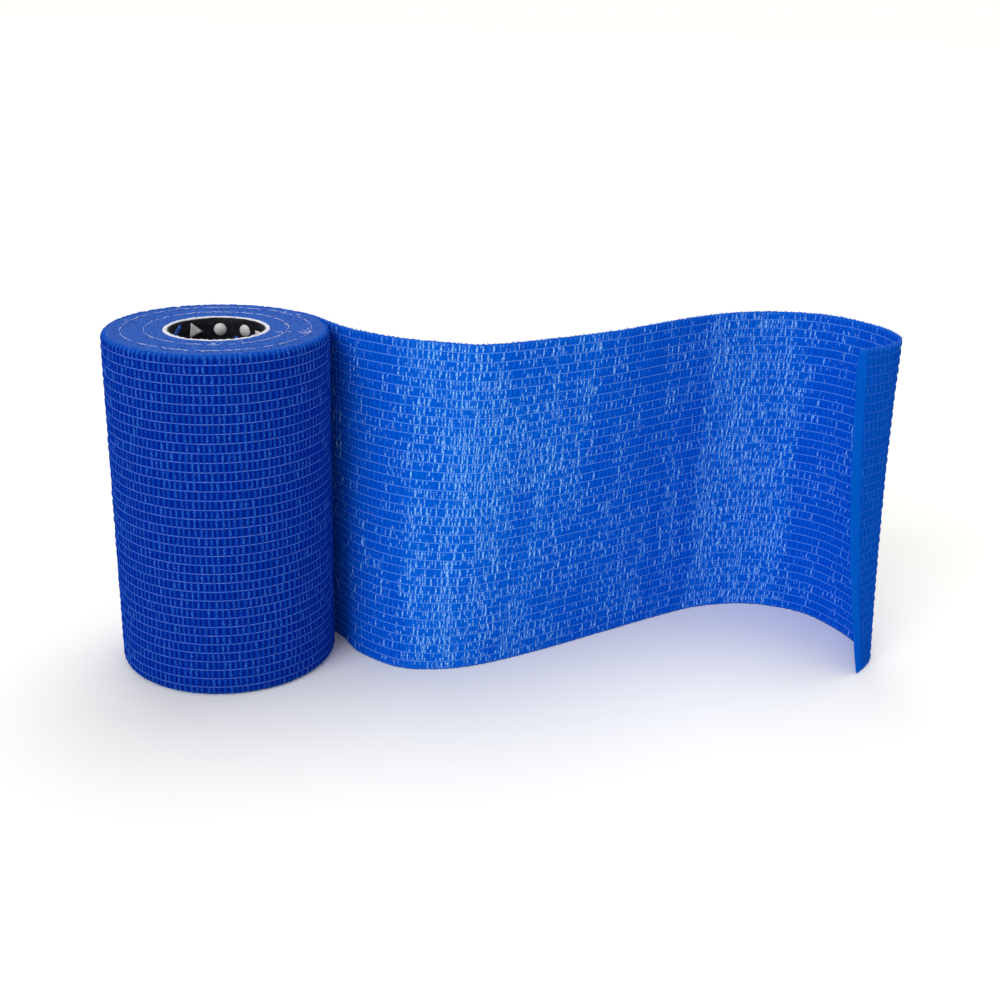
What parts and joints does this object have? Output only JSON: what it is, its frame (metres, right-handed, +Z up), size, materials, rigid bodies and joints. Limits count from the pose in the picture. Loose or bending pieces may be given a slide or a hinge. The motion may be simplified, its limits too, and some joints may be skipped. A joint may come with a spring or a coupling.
{
  "type": "hand wrap",
  "caption": "Cohesive elastic hand-wrap bandage on a hollow core, standing on end with a length drawn off and its free end turned back.",
  "frame": {"origin": "on the roll's axis, at the surface that the roll stands on", "axes": "+Z up along the roll's axis; +X towards the drawn-off length; the observer stands on the -Y side"},
  "size_m": [0.2298, 0.0768, 0.1],
  "materials": {
    "core_plastic": "matte",
    "liner_film": "satin",
    "adhesive_tape": "matte",
    "wound_strip": "matte",
    "outer_web": "matte",
    "inner_web": "satin",
    "elastic_thread": "matte"
  },
  "bodies": {
    "roll": {"core_tube": "core_plastic", "core_liner": "liner_film", "start_tape": "adhesive_tape", "wound_turns": "wound_strip"},
    "outer_turn": {"outer_turn_inner_web": "inner_web", "outer_turn_threads": "elastic_thread", "outer_turn_outer_web": "outer_web"},
    "tail": {"tail_inner_web": "inner_web", "tail_threads": "elastic_thread", "tail_outer_web": "outer_web"},
    "free_end": {"free_end_inner_web": "inner_web", "free_end_threads": "elastic_thread", "free_end_outer_web": "outer_web"}
  },
  "joints": [
    {"name": "unwind", "type": "hinge", "parent": "roll", "child": "outer_turn", "pos_m": [0, 0, 0], "axis": [0, 0, 1], "continuous": true},
    {"name": "tail_swing", "type": "hinge", "parent": "outer_turn", "child": "tail", "pos_m": [0.03439, 0.00726, 0], "axis": [0, 0, 1], "range_deg": [-15, 30]},
    {"name": "end_fold", "type": "hinge", "parent": "tail", "child": "free_end", "pos_m": [0.1975, 0.014, 0], "axis": [0, 0, 1], "range_deg": [-30, 60]}
  ]
}
